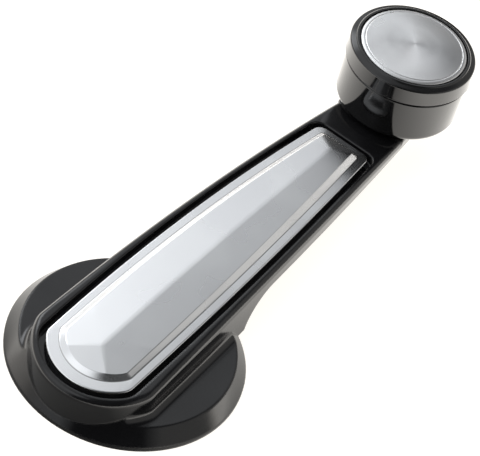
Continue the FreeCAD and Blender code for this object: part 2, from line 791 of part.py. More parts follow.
plate_flange = common(
    "plate_flange",
    standing("plate_raised", inset_plan(
        "plate_plan", "0", "0", "0", "trim_corner_radius", "trim_tip_corner")),
    crowned_slab("plate_slab", "0", UNDER_PLATE))
plate_panel = common(
    "plate_panel",
    roof_block("panel_roof", "0"),
    standing("panel_raised", flange_plan("panel_plan", "0")),
    crowned_slab("panel_slab", "-overrun", UNDER_PLATE))
plate_hollow = common(
    "plate_hollow",
    roof_block("panel_lining", "trim_thickness"),
    standing("lining_raised", flange_plan("lining_plan", "trim_thickness")))
trim_plate = named("trim_plate", cut(
    "pressed_plate", fused("plate_blank", plate_flange, plate_panel), plate_hollow))

# Film of adhesive under the plate's flange

film_sheet = common(
    "film_sheet",
    standing("film_raised", inset_plan(
        "film_plan", "carrier_inset", "carrier_inset", "carrier_inset",
        "trim_corner_radius - carrier_inset", "trim_tip_corner - carrier_inset")),
    crowned_slab("film_slab", UNDER_PLATE, UNDER_FILM))
FILM_INSET = "(carrier_inset + film_width)"
film_window = standing("film_window", inset_plan(
    "film_window_plan", FILM_INSET, FILM_INSET, FILM_INSET,
    f"trim_corner_radius - {FILM_INSET}", f"trim_tip_corner - {FILM_INSET}"))
trim_film = named("trim_film", cut("film_ring", film_sheet, film_window))

# Carrier: a moulded backing with a pad inside the panel, a window for the screw and two pins

PAD_DROP = "(trim_thickness + carrier_clearance)"
carrier_sheet = common(
    "carrier_sheet",
    standing("carrier_raised", inset_plan(
        "carrier_plan", "carrier_inset", "carrier_inset", "carrier_inset",
        "trim_corner_radius - carrier_inset", "trim_tip_corner - carrier_inset")),
    crowned_slab("carrier_slab", UNDER_FILM, RECESS_DEPTH))
carrier_pad = common(
    "carrier_pad",
    roof_block("pad_roof", PAD_DROP),
    standing("pad_raised", flange_plan("pad_plan", PAD_DROP)),
    crowned_slab("pad_slab", "-overrun", RECESS_DEPTH))
carrier_pins = [
    cylinder(f"carrier_pin_{which}", "pin_radius",
             f"{crown_at(place, RECESS_DEPTH)} - pin_length",
             f"{crown_at(place, RECESS_DEPTH)} + carrier_thickness", place)
    for which, place in PINS]
screw_window = cylinder(
    "screw_window", f"{WASHER_WELL} + window_clearance", "0", f"{CROWN_HEIGHT} + overrun")
trim_carrier = named("trim_carrier", cut(
    "carrier_moulding",
    fused("carrier_blank", carrier_sheet, carrier_pad, *carrier_pins), screw_window))

# Sleeves in the body that grip the carrier's pins

sleeve_tubes = []
for which, place in PINS:
    bottom = sleeve_bottom(place)
    tube = cylinder(
        f"sleeve_tube_{which}", SLEEVE_RADIUS, bottom, f"{bottom} + sleeve_length", place)
    bore = cylinder(
        f"sleeve_bore_{which}", "pin_radius + press_clearance", "0", CROWN_HEIGHT, place)
    sleeve_tubes.append(cut(f"sleeve_{which}", tube, bore))
trim_sleeves = doc.addObject("Part::Compound", "sleeve_pair")
trim_sleeves.Links = sleeve_tubes
named("trim_sleeves", trim_sleeves)


# Hub insert: a hexagonal steel block with a serrated socket for the regulator shaft

HEX_FLAT = "insert_across_flats / 2"
hub_insert = raised("hub_insert", [
    (HEX_REACH, "0"),
    (f"{HEX_REACH} / 2", HEX_FLAT),
    (f"-{HEX_REACH} / 2", HEX_FLAT),
    (f"-{HEX_REACH}", "0"),
    (f"-{HEX_REACH} / 2", f"-{HEX_FLAT}"),
    (f"{HEX_REACH} / 2", f"-{HEX_FLAT}")], INSERT_HEIGHT)
SERRATION_CREST = "(serration_root - serration_depth)"
carve(hub_insert, "lead_in", "lead_in_radius", "0", "lead_in_length", upward=True)
carve(hub_insert, "socket", SERRATION_CREST, "0", f"{INSERT_HEIGHT} - insert_web", upward=True)
serration = carve(
    hub_insert, "serration",
    box_corners(f"{SERRATION_CREST} - serration_depth", "-serration_width / 2",
                "serration_root", "serration_width / 2"),
    "0", f"{INSERT_HEIGHT} - insert_web", upward=True)
round_pattern(hub_insert, serration, SERRATIONS)
carve(hub_insert, "screw_hole", "screw_radius + washer_hole_clearance", "0", INSERT_HEIGHT,
      upward=True)

# Retaining screw and its washers, stacked on the insert

FLAT_WASHER_TOP = f"({INSERT_HEIGHT} + flat_washer_thickness)"
SCREW_SEAT = f"({FLAT_WASHER_TOP} + spring_washer_thickness)"
SCREW_TOP = f"({SCREW_SEAT} + screw_head_height)"
SCREW_END = f"({SCREW_SEAT} - screw_length)"
retaining_screw = turned("retaining_screw", [
    ("0", SCREW_END),
    ("screw_radius - screw_chamfer", SCREW_END),
    ("screw_radius", f"{SCREW_END} + screw_chamfer"),
    ("screw_radius", SCREW_SEAT),
    ("screw_head_radius", SCREW_SEAT),
    ("screw_head_radius", f"{SCREW_TOP} - screw_head_round", "screw_head_round"),
    ("screw_head_radius - screw_head_round", SCREW_TOP),
    ("0", SCREW_TOP)], at_knob=False)
cross_arm = carve(
    retaining_screw, "cross_arm",
    box_corners("0", "-cross_width / 2", "cross_length / 2", "cross_width / 2"),
    SCREW_TOP, "cross_depth")
round_pattern(retaining_screw, cross_arm, CROSS_ARMS)


def ring(node, inner, outer, low, high, at_knob):
    """Plain flat ring, such as a washer."""
    return turned(node, box_corners(inner, low, outer, high), at_knob)


screw_washer = ring(
    "screw_washer", "screw_radius + washer_hole_clearance", "flat_washer_radius",
    INSERT_HEIGHT, FLAT_WASHER_TOP, at_knob=False)
screw_spring_washer = ring(
    "screw_spring_washer", "screw_radius + washer_hole_clearance", "spring_washer_radius",
    FLAT_WASHER_TOP, SCREW_SEAT, at_knob=False)
carve(screw_spring_washer, "split",
      box_corners("0", "-spring_washer_split / 2", "spring_washer_radius + overrun",
                  "spring_washer_split / 2"),
      SCREW_SEAT, "spring_washer_thickness")


# Knob spindle: a shouldered rivet through the pad, headed over a washer under the boss

HEAD_LEVEL = f"({TIP_BOSS_LEVEL} - rivet_washer_thickness)"
COLLAR_TOP = f"({PAD_HEIGHT} + collar_height)"
THRUST_TOP = f"({COLLAR_TOP} + thrust_washer_thickness)"
DISH_TOP = f"({THRUST_TOP} + spring_dish_height)"
BUSH_BOTTOM = f"({DISH_TOP} + knob_play)"
FLANGE_TOP = f"({BUSH_BOTTOM} + bush_flange_thickness)"
KNOB_BOTTOM = f"({PAD_HEIGHT} + knob_gap)"
SEAM_HEIGHT = f"({KNOB_BOTTOM} + cup_height)"
BUSH_TOP = f"({SEAM_HEIGHT} - bush_drop)"
STOP_BOTTOM = f"({BUSH_TOP} + knob_play)"
STOP_TOP = f"({STOP_BOTTOM} + stop_washer_thickness)"
NUT_TOP = f"({STOP_TOP} + push_nut_rise + push_nut_thickness)"
SPINDLE_TOP = f"({NUT_TOP} + spindle_end)"
knob_spindle = turned("knob_spindle", [
    ("0", f"{HEAD_LEVEL} - rivet_head_height"),
    ("rivet_head_radius", f"{HEAD_LEVEL} - rivet_head_height"),
    ("rivet_head_radius", HEAD_LEVEL),
    ("tenon_radius", HEAD_LEVEL),
    ("tenon_radius", PAD_HEIGHT),
    ("collar_radius", PAD_HEIGHT),
    ("collar_radius", COLLAR_TOP),
    ("journal_radius", COLLAR_TOP),
    ("journal_radius", f"{SPINDLE_TOP} - journal_chamfer"),
    ("journal_radius - journal_chamfer", SPINDLE_TOP),
    ("0", SPINDLE_TOP)], at_knob=True)
rivet_washer = ring(
    "rivet_washer", "tenon_radius + press_clearance", "rivet_washer_radius",
    HEAD_LEVEL, TIP_BOSS_LEVEL, at_knob=True)

# Washers between the spindle's collar and the bush

BORE = "(journal_radius + running_clearance)"
THRUST_RADIUS = "(collar_radius + collar_margin)"
thrust_washer = ring(
    "thrust_washer", BORE, THRUST_RADIUS, COLLAR_TOP, THRUST_TOP, at_knob=True)
spring_dish = turned("spring_dish", [
    (f"{BORE} + washer_hole_clearance", THRUST_TOP),
    (f"{THRUST_RADIUS} - washer_hole_clearance", f"{DISH_TOP} - spring_dish_thickness"),
    (f"{THRUST_RADIUS} - washer_hole_clearance", DISH_TOP),
    (f"{BORE} + washer_hole_clearance", f"{THRUST_TOP} + spring_dish_thickness")], at_knob=True)

# Knob bush, pressed into the cup and running on the spindle

BUSH_RADIUS = f"({BORE} + bush_wall)"
knob_bush = turned("knob_bush", [
    (BORE, BUSH_BOTTOM),
    (THRUST_RADIUS, BUSH_BOTTOM),
    (THRUST_RADIUS, FLANGE_TOP),
    (BUSH_RADIUS, FLANGE_TOP),
    (BUSH_RADIUS, BUSH_TOP),
    (BORE, BUSH_TOP)], at_knob=True)

# Stop washer and push nut that hold the knob on the spindle

stop_washer = ring(
    "stop_washer", "journal_radius + press_clearance", "journal_radius + stop_washer_width",
    STOP_BOTTOM, STOP_TOP, at_knob=True)
push_nut = turned("push_nut", [
    ("journal_radius + push_nut_width", STOP_TOP),
    ("journal_radius + push_nut_width", f"{STOP_TOP} + push_nut_thickness"),
    ("journal_radius + press_clearance", NUT_TOP),
    ("journal_radius + press_clearance", f"{STOP_TOP} + push_nut_rise")], at_knob=True)
nut_slot = carve(
    push_nut, "nut_slot",
    box_corners("0", "-push_nut_slot_width / 2", "journal_radius + push_nut_slot_depth",
                "push_nut_slot_width / 2"),
    NUT_TOP, "push_nut_rise + push_nut_thickness")
round_pattern(push_nut, nut_slot, PUSH_NUT_SLOTS)

# Knob cup: the lower shell, with a well for the washers and a tube for the bush

WELL = f"({THRUST_RADIUS} + well_clearance)"
SEAT_RING = f"({WELL} + cup_wall)"
SEAT_RING_TOP = f"({FLANGE_TOP} + seat_ring_rise)"
CUP_TOP_RADIUS = "(cup_bottom_radius + cup_flare)"
CUP_INSIDE = "(cup_bottom_radius - cup_wall)"
TUBE = f"({BUSH_RADIUS} + tube_wall)"
knob_cup = turned("knob_cup", [
    (WELL, KNOB_BOTTOM),
    ("cup_bottom_radius - knob_edge_radius", KNOB_BOTTOM, "knob_edge_radius"),
    ("cup_bottom_radius", f"{KNOB_BOTTOM} + knob_edge_radius"),
    (CUP_TOP_RADIUS, SEAM_HEIGHT),
    (CUP_INSIDE, SEAM_HEIGHT),
    (CUP_INSIDE, f"{KNOB_BOTTOM} + cup_floor"),
    (SEAT_RING, f"{KNOB_BOTTOM} + cup_floor"),
    (SEAT_RING, SEAT_RING_TOP),
    (TUBE, SEAT_RING_TOP),
    (TUBE, BUSH_TOP),
    (BUSH_RADIUS, BUSH_TOP),
    (BUSH_RADIUS, FLANGE_TOP),
    (WELL, FLANGE_TOP)], at_knob=True)

# Knob cap: the upper ring with its web and the spigot that plugs into the cup

SPIGOT = f"({CUP_INSIDE} - press_clearance)"
CAP_BOTTOM = f"({SEAM_HEIGHT} + seam_gap)"
CAP_BOTTOM_RADIUS = f"({CUP_TOP_RADIUS} + cap_proud)"
CAP_TOP_RADIUS = f"({CAP_BOTTOM_RADIUS} - cap_draft)"
CAP_EDGE = f"({CAP_BOTTOM} + cap_height)"
LIP_RADIUS = f"({CAP_TOP_RADIUS} - cap_lip_width)"
LIP_HEIGHT = f"({CAP_EDGE} + cap_lip_rise)"
DISC_SEAT = f"({LIP_HEIGHT} - cap_seat_depth)"
knob_cap = turned("knob_cap", [
    ("0", f"{DISC_SEAT} - cap_web"),
    (f"{SPIGOT} - cap_spigot_wall", f"{DISC_SEAT} - cap_web"),
    (f"{SPIGOT} - cap_spigot_wall", f"{SEAM_HEIGHT} - cap_overlap"),
    (SPIGOT, f"{SEAM_HEIGHT} - cap_overlap"),
    (SPIGOT, CAP_BOTTOM),
    (CAP_BOTTOM_RADIUS, CAP_BOTTOM),
    (CAP_TOP_RADIUS, CAP_EDGE),
    (LIP_RADIUS, LIP_HEIGHT),
    (LIP_RADIUS, DISC_SEAT),
    ("0", DISC_SEAT)], at_knob=True)

# Aluminium disc and the film that holds it

DISC_RADIUS = f"({LIP_RADIUS} - disc_gap)"
DISC_BOTTOM = f"({DISC_SEAT} + film_thickness)"
DISC_RIM = f"({DISC_BOTTOM} + disc_thickness)"
DOME_FOOT = f"({DISC_RADIUS} - disc_rim_width - disc_bead)"
disc_film = turned("disc_film", [
    ("0", DISC_SEAT),
    (f"{DISC_RADIUS} - disc_film_inset", DISC_SEAT),
    (f"{DISC_RADIUS} - disc_film_inset", DISC_BOTTOM),
    ("0", DISC_BOTTOM)], at_knob=True)
knob_disc = turned("knob_disc", [
    ("0", DISC_BOTTOM),
    (DISC_RADIUS, DISC_BOTTOM),
    (DISC_RADIUS, f"{DISC_RIM} - disc_edge_round", "disc_edge_round"),
    (f"{DISC_RADIUS} - disc_edge_round", DISC_RIM),
    (f"{DISC_RADIUS} - disc_rim_width", DISC_RIM),
    (DOME_FOOT, f"{DISC_RIM} + disc_bead", "disc_dome_radius"),
    ("0", f"{DISC_RIM} + disc_bead + disc_dome_radius"
          f" - sqrt(disc_dome_radius^2 - {DOME_FOOT}^2)")], at_knob=True)


# Check every object, then write one file for each node

NODES = [
    handle_body, hub_insert, retaining_screw, screw_spring_washer, screw_washer,
    trim_plate, trim_film, trim_carrier, trim_sleeves,
    knob_spindle, rivet_washer, thrust_washer, spring_dish, knob_bush, stop_washer, push_nut,
    knob_cup, knob_cap, disc_film, knob_disc,
]

doc.recompute()
for item in doc.Objects:
    if "Invalid" in item.State or "Error" in item.State:
        raise RuntimeError(f"{item.Label} failed: {item.State}")
for node in NODES:
    if node.Shape.isNull() or not node.Shape.isValid() or node.Shape.Volume <= 0:
        raise RuntimeError(f"{node.Label} has no valid solid")

os.makedirs("parts", exist_ok=True)
for node in NODES:
    node.Shape.exportStep(f"parts/{node.Label}.step")
    bounds = node.Shape.BoundBox
    print(f"{node.Label}: {len(node.Shape.Solids)} solid, volume {node.Shape.Volume:.1f}, "
          f"z {bounds.ZMin:.2f} to {bounds.ZMax:.2f}, x {bounds.XMin:.2f} to {bounds.XMax:.2f}")
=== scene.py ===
"""Looks of a car window winder handle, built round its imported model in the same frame."""

import math

import bmesh
import bpy
from mathutils import Matrix, Vector


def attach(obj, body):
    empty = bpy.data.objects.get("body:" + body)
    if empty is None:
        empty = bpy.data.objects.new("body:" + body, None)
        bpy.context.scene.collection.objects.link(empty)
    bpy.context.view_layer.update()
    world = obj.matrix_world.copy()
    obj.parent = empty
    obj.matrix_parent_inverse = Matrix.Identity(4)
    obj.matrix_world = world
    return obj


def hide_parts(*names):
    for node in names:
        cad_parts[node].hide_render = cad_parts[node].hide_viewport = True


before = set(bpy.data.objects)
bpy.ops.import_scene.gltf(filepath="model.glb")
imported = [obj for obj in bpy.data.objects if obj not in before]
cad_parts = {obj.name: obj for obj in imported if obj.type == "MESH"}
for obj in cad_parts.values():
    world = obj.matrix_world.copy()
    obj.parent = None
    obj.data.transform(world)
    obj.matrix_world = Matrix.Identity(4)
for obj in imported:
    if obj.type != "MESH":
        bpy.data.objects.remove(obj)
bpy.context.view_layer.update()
scene = bpy.context.scene
scene.view_settings.view_transform = "Standard"


# Handle casting
# A zinc die casting: a round hub cover, a crowned arm and a round pad for the knob.
# It is stoved with gloss black enamel, which pulls thin over edges and dries slightly uneven.

ENAMEL_COLOURS = ((0.004, 0.004, 0.0045, 1), (0.011, 0.011, 0.012, 1))
ENAMEL_ROUGHNESS = (0.09, 0.16)
ENAMEL_IOR = 1.5
ENAMEL_CLOUD = {"Scale": 60, "Detail": 4}
ENAMEL_DUST = {"Spacing": 330, "Size": 0.03, "Share": 0.93}
ENAMEL_FLOW = {"Scale": 260, "Detail": 2}
ENAMEL_BUMP = (0.035, 0.00006)
ENAMEL_EDGE = 0.0008
EDGE_SAMPLES = 8
DUST_COLOUR = (0.16, 0.16, 0.15, 1)
MOTTLE_INPUTS = {"Scale": 100, "Detail": 3}
SPECK_INPUTS = {"Spacing": 900, "Size": 0.05, "Share": 0.9}
NOISE_LOW = 0.3
NOISE_HIGH = 0.7


def effect(name, inputs, outputs):
    """Start a shader node group with named inputs, each with a value, and named outputs."""
    group = bpy.data.node_groups.new(name, "ShaderNodeTree")
    group.interface.new_socket("Vector", in_out="INPUT", socket_type="NodeSocketVector")
    for word, value in inputs.items():
        socket = group.interface.new_socket(word, in_out="INPUT", socket_type="NodeSocketFloat")
        socket.default_value = value
    for word in outputs:
        group.interface.new_socket(word, in_out="OUTPUT", socket_type="NodeSocketFloat")
    return group, group.nodes.new("NodeGroupInput"), group.nodes.new("NodeGroupOutput")


def add(tree, kind, settings=None, **values):
    """Add a node to a tree, with its settings and the values of its named inputs."""
    node = tree.nodes.new(kind)
    for word, setting in (settings or {}).items():
        setattr(node, word, setting)
    for word, value in values.items():
        node.inputs[word.replace("_", " ")].default_value = value
    return node


def mottle_effect():
    """Soft uneven patches, from 0 to 1, as in a hand-rubbed or stoved surface."""
    group, given, result = effect("Mottle", MOTTLE_INPUTS, ["Patches"])
    noise = add(group, "ShaderNodeTexNoise", {"normalize": True})
    spread = add(group, "ShaderNodeMapRange", {"interpolation_type": "SMOOTHSTEP"},
                 From_Min=NOISE_LOW, From_Max=NOISE_HIGH)
    group.links.new(given.outputs["Vector"], noise.inputs["Vector"])
    group.links.new(given.outputs["Scale"], noise.inputs["Scale"])
    group.links.new(given.outputs["Detail"], noise.inputs["Detail"])
    group.links.new(noise.outputs["Fac"], spread.inputs["Value"])
    group.links.new(spread.outputs["Result"], result.inputs["Patches"])
    return group


def specks_effect():
    """Scattered specks of dust: 1 on a speck and 0 between them."""
    group, given, result = effect("Specks", SPECK_INPUTS, ["Specks"])
    cells = add(group, "ShaderNodeTexVoronoi", {"feature": "F1"})
    near = add(group, "ShaderNodeMath", {"operation": "LESS_THAN"})
    chance = add(group, "ShaderNodeSeparateColor")
    chosen = add(group, "ShaderNodeMath", {"operation": "GREATER_THAN"})
    both = add(group, "ShaderNodeMath", {"operation": "MULTIPLY"})
    group.links.new(given.outputs["Vector"], cells.inputs["Vector"])
    group.links.new(given.outputs["Spacing"], cells.inputs["Scale"])
    group.links.new(cells.outputs["Distance"], near.inputs[0])
    group.links.new(given.outputs["Size"], near.inputs[1])
    group.links.new(cells.outputs["Color"], chance.inputs["Color"])
    group.links.new(chance.outputs["Red"], chosen.inputs[0])
    group.links.new(given.outputs["Share"], chosen.inputs[1])
    group.links.new(near.outputs["Value"], both.inputs[0])
    group.links.new(chosen.outputs["Value"], both.inputs[1])
    group.links.new(both.outputs["Value"], result.inputs["Specks"])
    return group


MOTTLE = mottle_effect()
SPECKS = specks_effect()


def finish(name, **values):
    """Start a material: its node tree, its Principled shader and its object coordinates."""
    material = bpy.data.materials.new(name)
    material.use_nodes = True
    tree = material.node_tree
    shader = tree.nodes["Principled BSDF"]
    for word, value in values.items():
        shader.inputs[word.replace("_", " ")].default_value = value
    place = tree.nodes.new("ShaderNodeTexCoord")
    return material, tree, shader, place.outputs["Object"]


def use(tree, group, place, **values):
    """Place an effect in a material, on the coordinates that it follows."""
    node = add(tree, "ShaderNodeGroup", {"node_tree": group}, **values)
    tree.links.new(place, node.inputs["Vector"])
    return node


def blend_colours(tree, share, first, second):
    """Mix two colours, or colour outputs, by a share that varies over the surface."""
    mix = add(tree, "ShaderNodeMix", {"data_type": "RGBA"})
    tree.links.new(share, mix.inputs["Factor"])
    ends = [socket for socket in mix.inputs if socket.type == "RGBA"]
    for socket, colour in zip(ends, (first, second)):
        if isinstance(colour, tuple):
            socket.default_value = colour
        else:
            tree.links.new(colour, socket)
    return [socket for socket in mix.outputs if socket.type == "RGBA"][0]


def between(tree, share, low, high):
    """Number that goes from low to high as a share of the surface goes from 0 to 1."""
    spread = add(tree, "ShaderNodeMapRange", To_Min=low, To_Max=high)
    tree.links.new(share, spread.inputs["Value"])
    return spread.outputs["Result"]


def clouded(name, patches, colours, roughness, dust=None, **values):
    """Start a finish whose colour and roughness drift in soft patches, with dust or none."""
    material, tree, shader, place = finish(name, **values)
    cloud = use(tree, MOTTLE, place, **patches).outputs["Patches"]
    coat = blend_colours(tree, cloud, *colours)
    if dust:
        specks = use(tree, SPECKS, place, **dust)
        coat = blend_colours(tree, specks.outputs["Specks"], coat, DUST_COLOUR)
    tree.links.new(coat, shader.inputs["Base Color"])
    tree.links.new(between(tree, cloud, *roughness), shader.inputs["Roughness"])
    return material, tree, shader, place


def roughen(tree, shader, place, grain, strength, depth, edge=None):
    """Bump the shader's normal with a fine grain, over edges rounded by an optional radius."""
    height = use(tree, MOTTLE, place, **grain)
    bump = add(tree, "ShaderNodeBump", Strength=strength, Distance=depth)
    if edge:
        soft = add(tree, "ShaderNodeBevel", {"samples": EDGE_SAMPLES}, Radius=edge)
        tree.links.new(soft.outputs["Normal"], bump.inputs["Normal"])
    tree.links.new(height.outputs["Patches"], bump.inputs["Height"])
    tree.links.new(bump.outputs["Normal"], shader.inputs["Normal"])


def dress(node, material):
    """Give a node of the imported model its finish."""
    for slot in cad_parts[node].material_slots:
        slot.material = material


enamel, tree, shader, place = clouded("black_enamel", ENAMEL_CLOUD, ENAMEL_COLOURS,
                                      ENAMEL_ROUGHNESS, ENAMEL_DUST, IOR=ENAMEL_IOR)
roughen(tree, shader, place, ENAMEL_FLOW, *ENAMEL_BUMP, edge=ENAMEL_EDGE)
dress("handle_body", enamel)


# Hub insert
# A hexagonal block of zinc plated steel, cast into the hub, with a serrated socket
# that fits the window regulator's shaft.

ZINC_COLOURS = ((0.62, 0.61, 0.57, 1), (0.48, 0.47, 0.42, 1))
ZINC_ROUGHNESS = (0.28, 0.42)
ZINC_STAIN = {"Scale": 300, "Detail": 4}
ZINC_GRAIN = {"Scale": 2600, "Detail": 2}
ZINC_BUMP = (0.1, 0.00003)

zinc, tree, shader, place = clouded("zinc_plated_steel", ZINC_STAIN, ZINC_COLOURS,
                                    ZINC_ROUGHNESS, Metallic=1)
roughen(tree, shader, place, ZINC_GRAIN, *ZINC_BUMP)
dress("hub_insert", zinc)


# Retaining screw and its washers
# A cross-slotted pan head screw of zinc plated steel, with a plain washer and a split
# spring washer, holds the handle on the shaft from above.

SPRING_COLOURS = ((0.2, 0.2, 0.205, 1), (0.11, 0.105, 0.1, 1))
SPRING_ROUGHNESS = (0.25, 0.45)
SPRING_OIL = {"Scale": 400, "Detail": 4}

spring = clouded("spring_steel", SPRING_OIL, SPRING_COLOURS, SPRING_ROUGHNESS, Metallic=1)[0]
dress("retaining_screw", zinc)
dress("screw_washer", zinc)
dress("screw_spring_washer", spring)


# Carrier, sleeves and film
# A black moulded carrier backs the trim plate, its two pins pressed into white plastic
# sleeves in the casting. A film of adhesive holds the plate to the carrier.

CARRIER_COLOURS = ((0.02, 0.02, 0.021, 1), (0.05, 0.05, 0.052, 1))
CARRIER_ROUGHNESS = (0.4, 0.6)
SLEEVE_COLOURS = ((0.78, 0.76, 0.7, 1), (0.68, 0.65, 0.58, 1))
SLEEVE_ROUGHNESS = (0.35, 0.5)
FILM_COLOURS = ((0.72, 0.68, 0.55, 1), (0.6, 0.55, 0.42, 1))
FILM_ROUGHNESS = (0.6, 0.8)
PLASTIC_PATCHES = {"Scale": 180, "Detail": 4}
PLASTIC_GRAIN = {"Scale": 2200, "Detail": 2}
PLASTIC_BUMP = (0.15, 0.00004)


def moulded(name, colours, roughness):
    """Finish of a matt moulded plastic, with a fine grain and soft uneven patches."""
    material, tree, shader, place = clouded(name, PLASTIC_PATCHES, colours, roughness)
    roughen(tree, shader, place, PLASTIC_GRAIN, *PLASTIC_BUMP)
    return material


dress("trim_carrier", moulded("carrier_plastic", CARRIER_COLOURS, CARRIER_ROUGHNESS))
dress("trim_sleeves", moulded("sleeve_plastic", SLEEVE_COLOURS, SLEEVE_ROUGHNESS))
film = moulded("adhesive_film", FILM_COLOURS, FILM_ROUGHNESS)
dress("trim_film", film)


# Trim plate
# A plate of bright rolled aluminium with a raised, hipped panel pressed up in it. The press
# leaves its sloping step, ridge and hips softly rounded, and rolls its edge down a little.
# Shade is painted into the colour along the fold at the foot of the step.

MM = 0.001
CROWN_RADIUS = 715
CROWN_PEAK = 44.4
CROWN_HEIGHT = 13.27
RIDGE_PEAK = 48
RIDGE_HEIGHT = 14.88
ROOF_FALL = 1.09
ROOF_HALF = 12
ROOF_SLOPE = ROOF_FALL / ROOF_HALF
NOSE_X = -9
PLATE_NOSE = 13
PLATE_HUB_HALF = 11.3
PLATE_SIDE = 850
PLATE_TIP = 78.85
PLATE_TIP_HALF = 7.2
PLATE_CORNERS = (3.6, 2.2)
PANEL_CORNERS = (2.2, 1.1)
SHOULDER_CORNERS = (1.3, 0.6)
FLANGE_SIDE = 1.9
FLANGE_NOSE = 2.7
FLANGE_TIP = 1.85
STEP_RUN = 1.45
FOLD_EDGE = 0.13
HIP_NOSE = -11.3
HIP_NOSE_FALL = 1.47
HIP_NOSE_RUN = 8.4
HIP_NOSE_SLOPE = HIP_NOSE_FALL / HIP_NOSE_RUN
HIP_TIP = 72.4
HIP_TIP_FALL = 1.1
HIP_TIP_RUN = 4.8
HIP_TIP_SLOPE = HIP_TIP_FALL / HIP_TIP_RUN
PLATE_THICKNESS = 0.4
EDGE_ROLL = ((0, 0.34), (0.1, 0.17), (0.25, 0.095), (0.42, 0.082))
STEP_SHARES = ((0, 0), (0.1, 0.04), (0.22, 0.18), (0.78, 0.82), (0.9, 0.96), (1, 1))
RIDGE_ROUND = 0.6
RIDGE_STEPS = 4
EVEN_PROFILE = 0.5
ARC_STEPS = (22, 10, 34, 8)
STATION_DIGITS = 2
SHARP_TURN = math.radians(2.5)
UP = Vector((0, 0, 1))
SIDEWAYS = Vector((0, 1, 0))
ALONG = Vector((1, 0, 0))
CENTRE = Vector((0, 0, 0))
MERGE = 0.001
CUT_MERGE = 0.01
NORMAL_WEIGHT = 100


def crossing(first, reach, second, other_reach):
    """Point at set distances from two centres, on the right of the line through them."""
    line = second - first
    near = (reach ** 2 - other_reach ** 2 + line.length_squared) / (2 * line.length)
    across = math.sqrt(reach ** 2 - near ** 2)
    return first + near * line.normalized() - across * UP.cross(line.normalized())


def turn_from(centre, start, end):
    """Angle from one point to another as seen from a centre."""
    before = start - centre
    after = end - centre
    return math.atan2(before.cross(after).z, before.dot(after))


def plan_loop(bm, side_inset, nose_inset, tip_inset, corners):
    """Closed loop inside the plate's edge: a round nose, two curved sides and a square tip."""
    known = set(bm.edges)
    nose = PLATE_NOSE - nose_inset
    side = PLATE_SIDE - side_inset
    tip = PLATE_TIP - tip_inset
    corner, tip_corner = corners
    nose_centre = NOSE_X * ALONG
    side_centre = crossing((PLATE_HUB_HALF - side_inset) * SIDEWAYS, side,
                           Vector((tip, PLATE_TIP_HALF - side_inset, 0)), side)
    corner_centre = crossing(nose_centre, nose - corner, side_centre, side - corner)
    small_x = tip - tip_corner
    small_y = math.sqrt((side - tip_corner) ** 2 - (small_x - side_centre.x) ** 2)
    small_centre = Vector((small_x, side_centre.y + small_y, 0))
    stops = [nose_centre - nose * ALONG,
             nose_centre + nose * (corner_centre - nose_centre).normalized(),
             side_centre + side * (corner_centre - side_centre).normalized(),
             side_centre + side * (small_centre - side_centre).normalized(),
             Vector((tip, small_centre.y, 0))]
    chain = [bm.verts.new(stops[0])]
    for centre, begin, end, steps in zip(
            (nose_centre, corner_centre, side_centre, small_centre), stops, stops[1:],
            ARC_STEPS):
        arc = bmesh.ops.spin(bm, geom=[chain[-1]], cent=centre, axis=UP,
                             angle=turn_from(centre, begin, end), steps=steps)
        chain.append(arc["geom_last"][0])
    middle = bmesh.ops.extrude_vert_indiv(bm, verts=[chain[-1]])
    middle["verts"][0].co.y = 0
    half = [edge for edge in bm.edges if edge not in known]
    points = list({vert for edge in half for vert in edge.verts})
    bmesh.ops.mirror(bm, geom=half + points, axis="Y", merge_dist=MERGE)
    return [edge for edge in bm.edges if edge not in known]


def arch(x, peak, height):
    """Height at a place along the arm of an arch with a given peak."""
    return height - CROWN_RADIUS + math.sqrt(CROWN_RADIUS ** 2 - (x - peak) ** 2)


def crown(x):
    """Height of the plate's flange, which follows the arch of the arm."""
    return arch(x, CROWN_PEAK, CROWN_HEIGHT)


def ridge(x):
    """Height of the panel's ridge."""
    return arch(x, RIDGE_PEAK, RIDGE_HEIGHT)


def panel(x, y):
    """Height of the panel: two long slopes down from the ridge, and a hip at each end."""
    slopes = ridge(x) - ROOF_SLOPE * abs(y)
    nose_hip = ridge(HIP_NOSE) - HIP_NOSE_SLOPE * (HIP_NOSE - x)
    tip_hip = ridge(HIP_TIP) - HIP_TIP_SLOPE * (x - HIP_TIP)
    return min(slopes, nose_hip, tip_hip)


bm = bmesh.new()
# Mask of the painted shade along the fold at the foot of the panel's step.
fold_shade_mask = bm.verts.layers.float.new("fold_shade_mask")
rings = []
for inset, drop in EDGE_ROLL:
    rings.append((plan_loop(bm, inset, inset, inset, PLATE_CORNERS), 0, drop))
rings.append((plan_loop(bm, FLANGE_SIDE - FOLD_EDGE, FLANGE_NOSE - FOLD_EDGE,
                        FLANGE_TIP - FOLD_EDGE, PANEL_CORNERS), 0, 0))
for across, rise in STEP_SHARES:
    run = across * STEP_RUN
    corners = tuple(foot + across * (top - foot)
                    for foot, top in zip(PANEL_CORNERS, SHOULDER_CORNERS))
    rings.append((plan_loop(bm, FLANGE_SIDE + run, FLANGE_NOSE + run, FLANGE_TIP + run,
                            corners), rise, 0))
    if not across:
        for vert in {vert for edge in rings[-1][0] for vert in edge.verts}:
            vert[fold_shade_mask] = 1
shoulder = rings[-1][0]
level = {vert: (rise, drop) for edges, rise, drop in rings[:-1]
         for edge in edges for vert in edge.verts}
for outer, inner in zip(rings, rings[1:]):
    bmesh.ops.bridge_loops(bm, edges=outer[0] + inner[0])
stations = sorted({round(vert.co.x, STATION_DIGITS)
                   for edge in shoulder for vert in edge.verts})
bmesh.ops.contextual_create(bm, geom=shoulder)
nose_run = ROOF_SLOPE / (HIP_NOSE_SLOPE - (RIDGE_PEAK - HIP_NOSE) / CROWN_RADIUS)
tip_run = ROOF_SLOPE / (HIP_TIP_SLOPE - (HIP_TIP - RIDGE_PEAK) / CROWN_RADIUS)
